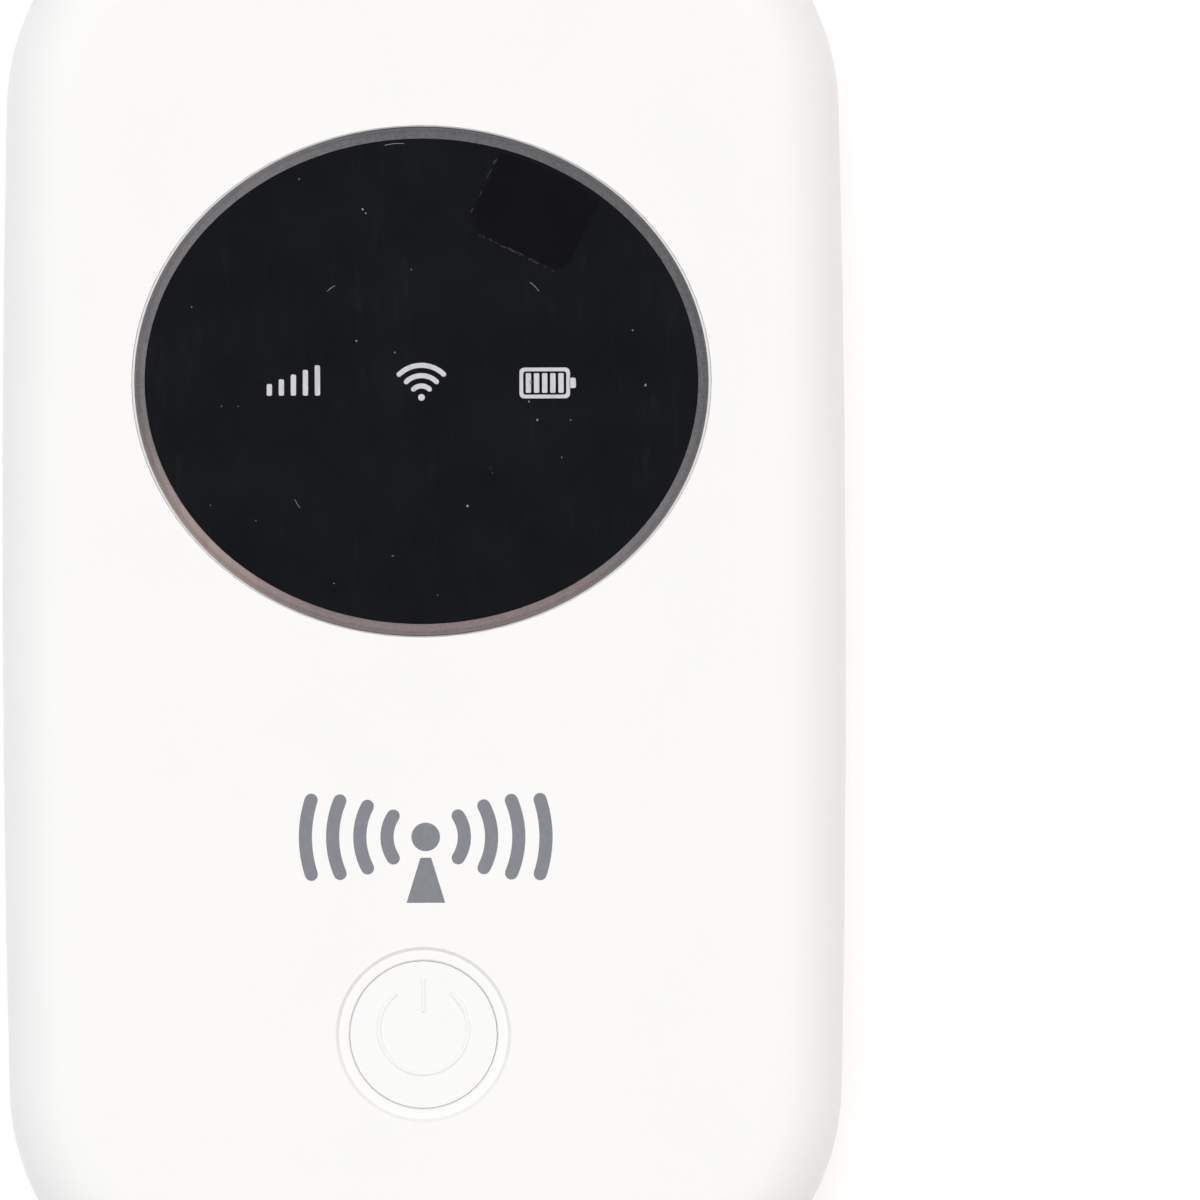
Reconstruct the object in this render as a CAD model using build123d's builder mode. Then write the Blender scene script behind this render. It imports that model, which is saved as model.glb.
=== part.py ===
from build123d import *
import math
import os

# Pocket mobile hotspot: a white slab with an oval black indicator window and one round power button.
#
# Millimetres. +Z points out of the window face, +Y towards the window end, and the micro-USB socket
# faces -Y. The origin is the centre of the back face, which the hotspot lies on.
#
# From back to front: battery door, chassis with the battery bay, circuit board, front shell, window.

# ---------------------------------------------------------------- driving dimensions
width, height, thickness = 59.0, 98.0, 14.6
side_bow_radius, end_bow_radius = 1500.0, 420.0
corner_lead_radius, corner_lead_turn = 17.0, 26.0
corner_radius = 11.4
front_edge_radius, rear_edge_radius = 5.0, 4.5

shell_wall, door_wall = 1.6, 1.4
door_floor = 1.2
parting_z, parting_gap, parting_chamfer = 5.0, 0.1, 0.15

chassis_inset = 1.8
chassis_rear_z = 1.5
deck_front_z = 3.0
bay_floor_z = 8.3
board_z, board_thickness, board_inset = 9.3, 1.0, 2.2
inner_front_z = thickness - shell_wall
board_front_z = board_z + board_thickness

# Window, centred on x = 0: a lens in a metallic border, stuck into an oval recess.
window_y = 15.1
lens_x_radius, lens_y_radius = 19.33, 16.95
border_width, border_stand, border_chamfer = 0.88, 0.02, 0.12
lens_recess_depth, lens_gap, recess_rim_radius = 1.2, 0.05, 0.18
adhesive_thickness = 0.15
window_pad_z, window_pad_margin = 12.3, 0.9
film_z, film_thickness, film_margin = thickness + 0.04, 0.06, 0.25
tab_x, tab_y, tab_turn = 9.0, 14.1, -26.0
tab_size = (7.6, 11.0)

# Indicators behind the window: signal, wireless and battery.
icon_pitch = 8.95
icon_well = (7.0, 4.6)
icon_sites = [(side * icon_pitch, window_y) for side in (-1, 0, 1)]
guide_block = (27.0, 6.6)
light_guide_low_z = 11.6

# Power button.
button_y = -30.5
button_radius, button_gap, button_travel = 5.13, 0.05, 0.3
button_dish_radius, button_dish_depth, button_dish_rim = 5.93, 0.25, 0.2
button_set_back, button_edge_radius, button_hole_flare = 0.26, 0.03, 0.08
flange_radius, flange_bottom_z, flange_top_z = 6.3, 12.2, 12.9
ear_width, ear_reach, ear_slack = 2.0, 0.75, 0.5
guide_inner_radius, guide_outer_radius, guide_low_z = 6.5, 7.3, 11.3
symbol_radius, symbol_line, symbol_stand, symbol_taper = 3.4, 0.55, 0.08, 58.0
symbol_gap_angle, symbol_bar_length, symbol_bar_y = 70.0, 2.7, 2.35
symbol_offset_y = 0.4

# Battery and its bay.
battery_x, battery_y, battery_z = 46.0, 56.0, 5.9
battery_rear_z = 2.1
battery_center_y = 0.8
battery_cap_length = 2.4
bay_x, bay_y, bay_center_y = 46.6, 57.2, 0.3
bay_wall, bay_corner_radius = 1.2, 1.6
bay_bottom_y = bay_center_y - bay_y / 2
bay_top_y = bay_center_y + bay_y / 2
contact_pitch, contact_count = 2.5, 4
connector_x, connector_y_size, connector_low_z = 11.0, 3.0, 4.6

# Sockets on the rear of the board.
usb_z, usb_mouth_y = 8.0, -48.3
usb_width, usb_height, usb_depth, usb_sheet = 7.5, 2.55, 5.4, 0.25
usb_hole_width, usb_hole_height, usb_hole_radius = 8.7, 3.5, 1.1
sim_x, sim_width, sim_length, sim_height, sim_sheet = 8.0, 14.6, 14.8, 1.5, 0.2
reset_x, reset_z, reset_travel = 14.0, 8.3, 0.25
reset_body_y = -44.2
pinhole_radius = 0.6

# Screws: two at each end and one at the middle of each side.
screw_sites = [(x, y) for y in (-42.5, 42.5) for x in (-21.5, 21.5)] + [(-25.4, -2.0), (25.4, -2.0)]
screw_radius, screw_head_radius, screw_head_height = 0.8, 1.35, 0.9
screw_seat_z, screw_tip_z = 6.3, 12.3
boss_radius, pillar_radius = 1.8, 2.7

# Door hooks: (x, y) of each, on the sides and on the ends.
hook_length, hook_reach, hook_low_z, hook_high_z = 6.0, 0.75, 3.5, 4.7
hook_slack, hook_slot_inset = 0.4, 0.65
side_hooks = [(side * width / 2, y) for side in (-1, 1) for y in (-30, -12, 10, 28)]
end_hooks = [(x, end * height / 2) for end in (-1, 1) for x in (-13, 13)]
nail_notch_x, nail_notch = -14.0, (11.0, 1.5, 1.15)

# Spring clips from the board to the antennas on the chassis.
clip_sites = [(-13.0, -43.0), (19.0, -38.5), (-16.0, 43.0), (-5.0, 43.0)]
clip_width, clip_length, clip_reach, clip_sheet = 1.4, 2.6, 2.2, 0.2
antenna_thickness, antenna_inset = 0.15, 5.3

CLEAR = 0.02  # between pieces that touch in the real object
OVER = 5.0  # how far a cutting tool runs past what it cuts


def quarter_arcs():
    """(radius, turn in degrees) of the tangent arcs from the middle of a side to the middle of an end."""
    lead = math.radians(corner_lead_turn)
    side_turn = end_turn = lead / 10
    radii = [corner_lead_radius, corner_radius, corner_lead_radius]
    for _ in range(60):
        last = math.pi / 2 - end_turn
        headings = [side_turn, side_turn + lead, last - lead, last]
        spans = list(zip(radii, headings, headings[1:]))
        rise = sum(r * (math.sin(b) - math.sin(a)) for r, a, b in spans)
        run = sum(r * (math.cos(a) - math.cos(b)) for r, a, b in spans)
        side_rise = height / 2 - rise - end_bow_radius * (1 - math.cos(end_turn))
        end_run = width / 2 - run - side_bow_radius * (1 - math.cos(side_turn))
        side_turn = math.asin(side_rise / side_bow_radius)
        end_turn = math.asin(end_run / end_bow_radius)
    turns = [side_turn] + [b - a for _, a, b in spans] + [end_turn]
    return list(zip([side_bow_radius, *radii, end_bow_radius], map(math.degrees, turns)))


def outline(inset=0.0):
    """The body's outline seen from the front, moved inwards: every radius shrinks by the inset."""
    with BuildSketch() as sketch:
        with BuildLine():
            point, heading = (width / 2 - inset, 0), (0, 1)
            for radius, turn in quarter_arcs():
                arc = JernArc(point, heading, radius - inset, turn)
                point, heading = arc @ 1, arc % 1
            mirror(about=Plane.YZ)
            mirror(about=Plane.XZ)
        make_face()
    return sketch.sketch


def slab(inset, low, high, low_radius=0.0, high_radius=0.0):
    """A block with the body's outline, rounded round its low and high edges."""
    with BuildPart() as block:
        with BuildSketch(Plane.XY.offset(low)):
            add(outline(inset))
        extrude(amount=high - low)
        if high_radius:
            fillet(block.edges().group_by(Axis.Z)[-1], high_radius)
        if low_radius:
            fillet(block.edges().group_by(Axis.Z)[0], low_radius)
    return block.part


def wall_stretches(outer_inset, inner_inset, low, high, length):
    """Pieces of the wall between two insets, one at every hook site."""
    reach = 3 * hook_reach + 2 * chassis_inset
    with BuildPart() as band:
        with BuildSketch(Plane.XY.offset(low)):
            add(outline(outer_inset))
            add(outline(inner_inset), mode=Mode.SUBTRACT)
        extrude(amount=high - low)
        with BuildSketch(Plane.XY.offset(low)):
            with Locations(*side_hooks):
                Rectangle(2 * reach, length)
            with Locations(*end_hooks):
                Rectangle(length, 2 * reach)
        extrude(amount=high - low, mode=Mode.INTERSECT)
    return band.part


def write(piece, name):
    """Labels a finished piece and writes it as its own node."""
    piece.part.label = name
    export_step(piece.part, f"parts/{name}.step")


os.makedirs("parts", exist_ok=True)
body = slab(0, 0, thickness, rear_edge_radius, front_edge_radius)


def end_plane(y):
    """A sketch plane across the body at y, seen from the socket end: local x is X and local y is Z."""
    return Plane(origin=(0, y, 0), x_dir=(1, 0, 0), z_dir=(0, -1, 0))


before_socket_end = end_plane(-height / 2 - OVER)

# ---------------------------------------------------------------- front shell
shell_low_z = parting_z + parting_gap / 2
shell_hollow = slab(shell_wall, 0, inner_front_z, 0, front_edge_radius - shell_wall)
lens_floor_z = thickness - lens_recess_depth
border_x_radius, border_y_radius = lens_x_radius + border_width, lens_y_radius + border_width
rib_width, rib_low_z = 1.0, 12.2
cross_ribs = [((-15.5, -22.0), 9.0), ((15.5, -22.0), 9.0), ((0.0, 39.5), 36.0)]
long_ribs = [((-11.0, button_y), 17.0), ((11.0, button_y), 17.0), ((-12.0, 40.0), 9.0), ((12.0, 40.0), 9.0)]

with BuildPart() as front_shell:
    add(body)
    split(bisect_by=Plane.XY.offset(shell_low_z), keep=Keep.TOP)
    chamfer(front_shell.edges().group_by(Axis.Z)[0], parting_chamfer)
    add(shell_hollow, mode=Mode.SUBTRACT)
    # Pad that carries the lens.
    with BuildSketch(Plane.XY.offset(window_pad_z)):
        with Locations((0, window_y)):
            Ellipse(border_x_radius + window_pad_margin, border_y_radius + window_pad_margin)
    extrude(amount=inner_front_z - window_pad_z)
    # Screw bosses, button guide and stiffening ribs hang from the front wall.
    with BuildSketch(Plane.XY.offset(board_front_z)):
        with Locations(*screw_sites):
            Circle(boss_radius)
    extrude(amount=inner_front_z - board_front_z)
    with BuildSketch(Plane.XY.offset(guide_low_z)):
        with Locations((0, button_y)):
            Circle(guide_outer_radius)
            Circle(guide_inner_radius, mode=Mode.SUBTRACT)
            Rectangle(2 * OVER + 2 * guide_outer_radius, ear_width + ear_slack, mode=Mode.SUBTRACT)
    extrude(amount=inner_front_z - guide_low_z)
    with BuildSketch(Plane.XY.offset(rib_low_z)):
        for site, length in cross_ribs:
            with Locations(site):
                Rectangle(length, rib_width)
        for site, length in long_ribs:
            with Locations(site):
                Rectangle(rib_width, length)
    extrude(amount=inner_front_z - rib_low_z)
    # Oval recess with a softened rim, and the opening for the light guides.
    with BuildSketch(Plane.XY.offset(lens_floor_z)):
        with Locations((0, window_y)):
            Ellipse(border_x_radius + lens_gap, border_y_radius + lens_gap)
    extrude(amount=OVER, mode=Mode.SUBTRACT)
    rim = front_shell.edges().filter_by(GeomType.ELLIPSE).group_by(Axis.Z)[-1]
    fillet(rim, recess_rim_radius)
    with BuildSketch(Plane.XY.offset(window_pad_z)):
        with Locations((0, window_y)):
            RectangleRounded(guide_block[0] + 0.6, guide_block[1] + 0.6, 0.8)
    extrude(amount=OVER, mode=Mode.SUBTRACT)
    # Dished button surround and its hole.
    with BuildSketch(Plane.XY.offset(thickness - button_dish_depth)):
        with Locations((0, button_y)):
            Circle(button_dish_radius)
    extrude(amount=OVER, mode=Mode.SUBTRACT)
    dish = front_shell.faces().sort_by(Axis.Z)[-1].edges().filter_by(GeomType.CIRCLE)
    chamfer(dish.filter_by(lambda edge: abs(edge.radius - button_dish_radius) < CLEAR), button_dish_rim)
    with BuildSketch(Plane.XY.offset(inner_front_z - OVER / 2)):
        with Locations((0, button_y)):
            Circle(button_radius + button_gap)
    extrude(amount=2 * OVER, mode=Mode.SUBTRACT)
    hole_radius = button_radius + button_gap
    with Locations((0, button_y, thickness - button_dish_depth)):
        Cone(hole_radius, hole_radius + 2 * button_hole_flare, 2 * button_hole_flare, mode=Mode.SUBTRACT)
    # Pilot holes for the screws.
    with BuildSketch(Plane.XY.offset(board_front_z)):
        with Locations(*screw_sites):
            Circle(screw_radius + CLEAR)
    extrude(amount=screw_tip_z + 0.5 - board_front_z, mode=Mode.SUBTRACT)
    # Micro-USB opening and reset pinhole through the end wall.
    with BuildSketch(before_socket_end):
        with Locations((0, usb_z)):
            RectangleRounded(usb_hole_width, usb_hole_height, usb_hole_radius)
        with Locations((reset_x, reset_z)):
            Circle(pinhole_radius)
    extrude(amount=-(OVER + 2 * shell_wall), mode=Mode.SUBTRACT)
write(front_shell, "front_shell")

# ---------------------------------------------------------------- battery door
door_high_z = parting_z - parting_gap / 2
door_hollow = slab(door_wall, door_floor, thickness, rear_edge_radius - door_wall)
hooks = wall_stretches(door_wall - 0.1, door_wall + hook_reach, hook_low_z, hook_high_z, hook_length)
door_rib_sites = [(x, bay_center_y) for x in (-14.0, 0.0, 14.0)]
door_rib = (50.0, 1.0, 0.5)

with BuildPart() as rear_door:
    add(body)
    split(bisect_by=Plane.XY.offset(door_high_z), keep=Keep.BOTTOM)
    chamfer(rear_door.edges().group_by(Axis.Z)[-1], parting_chamfer)
    add(door_hollow, mode=Mode.SUBTRACT)
    add(hooks)
    # Fingernail notch in the edge of the socket end: a shallow scoop.
    with BuildSketch(Plane.XY.offset(door_high_z - nail_notch[2])):
        with Locations((nail_notch_x, -height / 2 + 0.1)):
            SlotOverall(nail_notch[0], nail_notch[1])
    extrude(amount=OVER, mode=Mode.SUBTRACT)
    # Low ribs that stop the door drumming against the battery.
    with BuildSketch(Plane.XY.offset(door_floor)):
        with Locations(*door_rib_sites):
            SlotOverall(door_rib[0], door_rib[1], 90)
    extrude(amount=door_rib[2])
write(rear_door, "rear_door")

# ---------------------------------------------------------------- chassis
pocket_inset = 3.2
chassis_edge_radius = rear_edge_radius - 1.6
chassis_body = slab(chassis_inset, chassis_rear_z, board_z, chassis_edge_radius)
hook_slots = wall_stretches(
    chassis_inset - OVER / 2,
    chassis_inset + hook_slot_inset,
    chassis_rear_z - OVER / 2,
    hook_high_z + hook_slack,
    hook_length + 2 * hook_slack,
)
deck_rib_length, deck_rib_width, deck_rib_height = 15.0, 1.0, 3.2
deck_long_ribs = [(-8.0, -37.0), (8.0, -37.0), (-10.0, 37.5), (20.5, 36.0)]
deck_cross_ribs = [(-16.0, -37.5), (16.0, -36.0), (-17.0, 38.0)]
sim_opening_length = 16.5

with BuildPart() as chassis:
    add(chassis_body)
    # Hollowed from the board side, round the bay wall and the screw pillars.
    with BuildSketch(Plane.XY.offset(deck_front_z)):
        add(outline(pocket_inset))
        with Locations((0, bay_center_y)):
            Rectangle(bay_x + 2 * bay_wall, bay_y + 2 * bay_wall, mode=Mode.SUBTRACT)
        with Locations(*screw_sites):
            Circle(pillar_radius, mode=Mode.SUBTRACT)
    extrude(amount=OVER * 2, mode=Mode.SUBTRACT)
    # Ribs across the hollows, low enough to clear what is soldered to the board.
    with BuildSketch(Plane.XY.offset(deck_front_z)):
        with Locations(*deck_long_ribs):
            Rectangle(deck_rib_width, deck_rib_length)
        with Locations(*deck_cross_ribs):
            Rectangle(deck_rib_length, deck_rib_width)
    extrude(amount=deck_rib_height)
    # Posts that bring the antennas' feed pads up to the board's spring clips.
    with BuildSketch(Plane.XY.offset(deck_front_z)):
        with Locations(*clip_sites):
            RectangleRounded(clip_width + 1.0, clip_length + 0.8, 0.4)
    extrude(amount=board_z - clip_reach - deck_front_z)
    # Battery bay, open to the back.
    with BuildSketch(Plane.XY.offset(chassis_rear_z - OVER)):
        with Locations((0, bay_center_y)):
            RectangleRounded(bay_x, bay_y, bay_corner_radius)
    extrude(amount=bay_floor_z - chassis_rear_z + OVER, mode=Mode.SUBTRACT)
    add(hook_slots, mode=Mode.SUBTRACT)
    # Way for the SIM card: a slot in the bay's end wall and an opening in its floor.
    with BuildSketch(Plane.XY.offset(board_z - sim_height - sim_sheet)):
        with Locations((sim_x, bay_top_y)):
            Rectangle(sim_width + 2 * sim_sheet, 3 * bay_wall)
    extrude(amount=OVER, mode=Mode.SUBTRACT)
    with BuildSketch(Plane.XY.offset(bay_floor_z - 0.1)):
        with Locations((sim_x, bay_top_y - sim_opening_length / 2)):
            RectangleRounded(sim_width - 1.0, sim_opening_length, 1.5)
    extrude(amount=OVER, mode=Mode.SUBTRACT)
    # Battery connector, micro-USB socket and reset plunger pass through the walls.
    with BuildSketch(Plane.XY.offset(connector_low_z - 0.2)):
        with Locations((0, bay_bottom_y - 1.0)):
            Rectangle(connector_x + 0.4, connector_y_size + 1.6)
    extrude(amount=2 * OVER, mode=Mode.SUBTRACT)
    with BuildSketch(before_socket_end):
        with Locations((0, board_z - 1.4)):
            Rectangle(usb_width + 1.4, 4.0)
        with Locations((reset_x, board_z - 0.8)):
            Rectangle(1.7, 1.9)
    extrude(amount=-2 * OVER, mode=Mode.SUBTRACT)
    # Screw holes, counterbored from the back.
    with BuildSketch(Plane.XY.offset(chassis_rear_z - OVER)):
        with Locations(*screw_sites):
            Circle(screw_head_radius + 0.2)
    extrude(amount=screw_seat_z - chassis_rear_z + OVER, mode=Mode.SUBTRACT)
    with BuildSketch(Plane.XY.offset(chassis_rear_z)):
        with Locations(*screw_sites):
            Circle(screw_radius + 0.1)
    extrude(amount=2 * OVER, mode=Mode.SUBTRACT)
write(chassis, "chassis")

drive_length, drive_width, drive_depth = 1.5, 0.34, 0.55
with BuildPart() as chassis_screws:
    with BuildSketch(Plane.XY.offset(screw_seat_z)):
        with Locations(*screw_sites):
            Circle(screw_radius)
    extrude(amount=screw_tip_z - screw_seat_z)
    chamfer(chassis_screws.edges().group_by(Axis.Z)[-1], 0.3)
    with BuildSketch(Plane.XY.offset(screw_seat_z - screw_head_height)):
        with Locations(*screw_sites):
            Circle(screw_head_radius)
    extrude(amount=screw_head_height)
    fillet(chassis_screws.edges().group_by(Axis.Z)[0], 0.3)
    with BuildSketch(Plane.XY.offset(screw_seat_z - screw_head_height)):
        with Locations(*screw_sites):
            Rectangle(drive_length, drive_width)
            Rectangle(drive_width, drive_length)
    extrude(amount=drive_depth, mode=Mode.SUBTRACT)
write(chassis_screws, "chassis_screws")

# ---------------------------------------------------------------- window
lens_low_z = lens_floor_z + adhesive_thickness

with BuildPart() as lens_adhesive:
    with BuildSketch(Plane.XY.offset(lens_floor_z)):
        with Locations((0, window_y)):
            Ellipse(lens_x_radius, lens_y_radius)
            RectangleRounded(guide_block[0] + 2.0, guide_block[1] + 2.0, 1.2, mode=Mode.SUBTRACT)
    extrude(amount=adhesive_thickness)
write(lens_adhesive, "lens_adhesive")

with BuildPart() as display_lens:
    with BuildSketch(Plane.XY.offset(lens_low_z)):
        with Locations((0, window_y)):
            Ellipse(lens_x_radius - CLEAR / 2, lens_y_radius - CLEAR / 2)
    extrude(amount=thickness - lens_low_z)
    chamfer(display_lens.edges().group_by(Axis.Z)[-1], 0.05)
write(display_lens, "display_lens")

with BuildPart() as lens_border:
    with BuildSketch(Plane.XY.offset(lens_low_z)):
        with Locations((0, window_y)):
            Ellipse(border_x_radius, border_y_radius)
            Ellipse(lens_x_radius, lens_y_radius, mode=Mode.SUBTRACT)
    extrude(amount=thickness + border_stand - lens_low_z)
    chamfer(lens_border.edges().group_by(Axis.Z)[-1].sort_by(SortBy.LENGTH)[-1], border_chamfer)
write(lens_border, "lens_border")

with BuildPart() as screen_film:
    with BuildSketch(Plane.XY.offset(film_z)):
        with Locations((0, window_y)):
            Ellipse(border_x_radius - film_margin, border_y_radius - film_margin)
    extrude(amount=film_thickness)
write(screen_film, "screen_film")

with BuildPart() as film_pull_tab:
    with BuildSketch(Plane.XY.offset(film_z + film_thickness)):
        with Locations((0, window_y)):
            Ellipse(lens_x_radius - film_margin, lens_y_radius - film_margin)
            with Locations((tab_x, tab_y)):
                RectangleRounded(*tab_size, 1.2, rotation=tab_turn, mode=Mode.INTERSECT)
    extrude(amount=film_thickness)
write(film_pull_tab, "film_pull_tab")

# ---------------------------------------------------------------- light guides and LEDs
baffle_top_z = lens_floor_z - 0.1
led_pitch, led_base, led_dome = 3.0, (1.6, 0.8, 0.3), (1.0, 0.8, 0.35)

with BuildPart() as icon_baffle:
    with BuildSketch(Plane.XY.offset(board_front_z)):
        with Locations((0, window_y)):
            RectangleRounded(*guide_block, 0.6)
        with Locations(*icon_sites):
            Rectangle(*icon_well, mode=Mode.SUBTRACT)
    extrude(amount=baffle_top_z - board_front_z)
write(icon_baffle, "icon_baffle")

with BuildPart() as icon_light_guides:
    with BuildSketch(Plane.XY.offset(light_guide_low_z)):
        with Locations(*icon_sites):
            Rectangle(icon_well[0] - 2 * CLEAR, icon_well[1] - 2 * CLEAR)
    extrude(amount=baffle_top_z - light_guide_low_z)
write(icon_light_guides, "icon_light_guides")

led_steps = [(board_front_z, led_base), (board_front_z + led_base[2], led_dome)]
with BuildPart() as status_leds:
    for low_z, (x_size, y_size, led_height) in led_steps:
        with BuildSketch(Plane.XY.offset(low_z)):
            with Locations(*icon_sites):
                with GridLocations(led_pitch, 0, 2, 1):
                    Rectangle(x_size, y_size)
        extrude(amount=led_height)
write(status_leds, "status_leds")

# ---------------------------------------------------------------- power button and its switch
switch_x, switch_height, switch_floor, plunger_radius, plunger_top_z = 5.2, 0.9, 0.2, 1.15, 11.6
plunger_low_z = board_front_z + switch_floor + button_travel + 0.1
button_top_z = thickness - button_set_back
button_wall, button_hollow, button_core_radius, button_rib = 1.0, 1.2, 2.2, 0.8
symbol_root = 0.05
symbol_gap_reach = OVER * math.tan(math.radians(symbol_gap_angle / 2))

with BuildPart() as power_button:
    with BuildSketch(Plane.XY.offset(flange_bottom_z)):
        with Locations((0, button_y)):
            Circle(flange_radius)
            Rectangle(2 * (flange_radius + ear_reach), ear_width)
    extrude(amount=flange_top_z - flange_bottom_z)
    with BuildSketch(Plane.XY.offset(flange_bottom_z)):
        with Locations((0, button_y)):
            Circle(button_radius)
    extrude(amount=button_top_z - flange_bottom_z)
    fillet(power_button.edges().group_by(Axis.Z)[-1], button_edge_radius)
    # Hollow underside with a cross of ribs.
    with BuildSketch(Plane.XY.offset(flange_bottom_z)):
        with Locations((0, button_y)):
            Circle(button_radius - button_wall)
            Rectangle(2 * button_radius, button_rib, mode=Mode.SUBTRACT)
            Rectangle(button_rib, 2 * button_radius, mode=Mode.SUBTRACT)
            Circle(button_core_radius, mode=Mode.SUBTRACT)
    extrude(amount=button_hollow, mode=Mode.SUBTRACT)
    # Raised power symbol with sloping sides: an open ring and a bar.
    with BuildSketch(Plane.XY.offset(button_top_z - symbol_root)):
        with Locations((0, button_y + symbol_offset_y)):
            Circle(symbol_radius)
            Circle(symbol_radius - symbol_line, mode=Mode.SUBTRACT)
            Polygon((0, 0), (symbol_gap_reach, OVER), (-symbol_gap_reach, OVER), align=None, mode=Mode.SUBTRACT)
            with Locations((0, symbol_bar_y)):
                SlotOverall(symbol_bar_length, symbol_line, 90)
    extrude(amount=symbol_root + symbol_stand, taper=symbol_taper)
write(power_button, "power_button")

with BuildPart() as button_pad:
    with BuildSketch(Plane.XY.offset(plunger_top_z)):
        with Locations((0, button_y)):
            Circle(1.9)
    extrude(amount=flange_bottom_z - plunger_top_z)
    fillet(button_pad.edges().group_by(Axis.Z)[0], 0.15)
write(button_pad, "button_pad")

with BuildPart() as power_switch_base:
    with BuildSketch(Plane.XY.offset(board_front_z)):
        with Locations((0, button_y)):
            with GridLocations(switch_x + 0.8, 3.7, 2, 2):
                Rectangle(1.0, 0.7)
    extrude(amount=0.15)
    with BuildSketch(Plane.XY.offset(board_front_z)):
        with Locations((0, button_y)):
            RectangleRounded(switch_x, switch_x, 0.4)
    extrude(amount=switch_height)
    with BuildSketch(Plane.XY.offset(board_front_z + switch_floor)):
        with Locations((0, button_y)):
            Circle(plunger_radius + 0.1)
    extrude(amount=OVER, mode=Mode.SUBTRACT)
write(power_switch_base, "power_switch_base")

with BuildPart() as power_switch_plunger:
    with BuildSketch(Plane.XY.offset(plunger_low_z)):
        with Locations((0, button_y)):
            Circle(plunger_radius)
    extrude(amount=plunger_top_z - plunger_low_z)
    fillet(power_switch_plunger.edges().group_by(Axis.Z)[-1], 0.15)
write(power_switch_plunger, "power_switch_plunger")

# ---------------------------------------------------------------- circuit board
with BuildPart() as main_board:
    with BuildSketch(Plane.XY.offset(board_z)):
        add(outline(board_inset))
        with Locations(*screw_sites):
            Circle(screw_radius + 0.15, mode=Mode.SUBTRACT)
        # Scallops where the board was snapped out of its panel.
        with Locations(*[(side * (width / 2 - board_inset), y) for side in (-1, 1) for y in (-20, 22)]):
            Circle(0.6, mode=Mode.SUBTRACT)
    extrude(amount=board_thickness)
write(main_board, "main_board")


can_top_z, can_sheet, can_corner_radius = 12.1, 0.2, 0.8
vent_pitch, vent_radius = 3.0, 0.35
processor_x, processor_y, processor_size, processor_height = -13.0, 30.0, 12.0, 0.9


def shield(center, size):
    """A folded sheet-metal can on the front of the board, with rounded corners and a grid of vents."""
    with BuildPart() as can:
        with BuildSketch(Plane.XY.offset(board_front_z)):
            with Locations(center):
                RectangleRounded(*size, can_corner_radius)
        extrude(amount=can_top_z - board_front_z)
        fillet(can.edges().group_by(Axis.Z)[-1], 0.3)
        with BuildSketch(Plane.XY.offset(board_front_z)):
            with Locations(center):
                RectangleRounded(*[x - 2 * can_sheet for x in size], can_corner_radius - can_sheet)
        extrude(amount=can_top_z - board_front_z - can_sheet, mode=Mode.SUBTRACT)
        with BuildSketch(Plane.XY.offset(board_front_z)):
            with Locations(center):
                with GridLocations(vent_pitch, vent_pitch, *[int(x / vent_pitch) - 1 for x in size]):
                    Circle(vent_radius)
        extrude(amount=OVER, mode=Mode.SUBTRACT)
    return can


def chips(sites):
    """Packaged chips on the front of the board, each given as (x, y, x size, y size, height)."""
    with BuildPart() as group:
        for x, y, x_size, y_size, chip_height in sites:
            with BuildSketch(Plane.XY.offset(board_front_z)):
                with Locations((x, y)):
                    RectangleRounded(x_size, y_size, 0.15)
            extrude(amount=chip_height)
    return group


write(shield((-7.5, 30.0), (27.0, 19.5)), "baseband_shield")
write(shield((12.0, -9.0), (21.0, 19.0)), "radio_shield")
write(shield((-12.5, -8.0), (20.0, 17.0)), "power_shield")
processor = (processor_x, processor_y, processor_size, processor_size, processor_height)
write(chips([processor]), "baseband_processor")
write(chips([(0.0, 30.0, 8.0, 10.5, 0.8)]), "memory_chip")
radio_sites = [(8.0, -9.0, 7.0, 7.0, 0.8), (17.0, -5.0, 4.0, 4.0, 0.9), (17.0, -12.5, 5.0, 4.0, 0.9)]
write(chips(radio_sites), "radio_chips")
write(chips([(-16.0, -8.0, 6.0, 6.0, 0.8), (-8.5, -5.5, 3.0, 3.0, 0.7)]), "power_manager")

with BuildPart() as thermal_pad:
    with BuildSketch(Plane.XY.offset(board_front_z + processor_height)):
        with Locations((processor_x, processor_y)):
            RectangleRounded(processor_size - 1.0, processor_size - 1.0, 0.5)
    extrude(amount=can_top_z - can_sheet - board_front_z - processor_height)
write(thermal_pad, "thermal_pad")

# Rows of capacitors and resistors outside the cans, as (x, y, count, turn).
passive_rows = [
    (-22.0, -36.0, 4, 0),
    (-15.0, -44.0, 5, 0),
    (16.0, -38.0, 6, 0),
    (22.5, 22.0, 5, 90),
    (18.0, 38.0, 4, 0),
]
passive_pitch, passive_size, passive_height = 1.5, (0.6, 1.1), 0.5

with BuildPart() as passive_parts:
    for x, y, count, turn in passive_rows:
        with BuildSketch(Plane.XY.offset(board_front_z)):
            with Locations(Location((x, y), turn)):
                with GridLocations(passive_pitch, 0, count, 1):
                    Rectangle(*passive_size)
        extrude(amount=passive_height)
write(passive_parts, "passive_parts")

inductor_sites, inductor_size, inductor_height = [(-19.0, -28.5), (-14.0, -33.0)], 4.0, 1.6
with BuildPart() as power_inductors:
    with BuildSketch(Plane.XY.offset(board_front_z)):
        with Locations(*inductor_sites):
            RectangleRounded(inductor_size, inductor_size, 0.9)
    extrude(amount=inductor_height)
    fillet(power_inductors.edges().group_by(Axis.Z)[-1], 0.2)
write(power_inductors, "power_inductors")

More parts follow.
